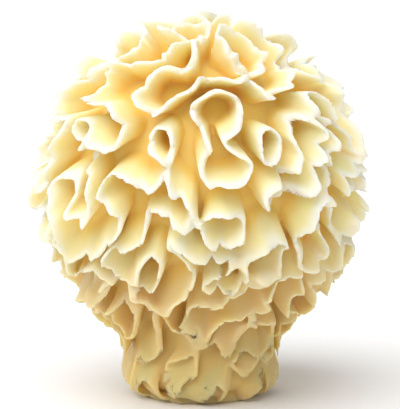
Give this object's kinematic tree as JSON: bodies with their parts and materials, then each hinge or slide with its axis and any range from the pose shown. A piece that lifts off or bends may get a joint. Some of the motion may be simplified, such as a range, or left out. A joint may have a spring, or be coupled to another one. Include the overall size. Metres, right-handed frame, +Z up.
{
  "type": "tremella mushroom",
  "caption": "Snow fungus fruiting body: a rounded ball of ruffled, gelatinous fronds on a short cut stem that stands on a flat foot.",
  "frame": {"origin": "on the surface it stands on, under the middle of the fronds", "axes": "+Z up from the cut foot through the ball of fronds; the side seen from -Y is the front"},
  "size_m": [0.117, 0.118, 0.131],
  "materials": {
    "jelly_flesh": "translucent satin jelly, cream at the thin rims and golden in the deep folds"
  },
  "bodies": {
    "root": {"fruiting_body": "jelly_flesh"}
  },
  "joints": []
}
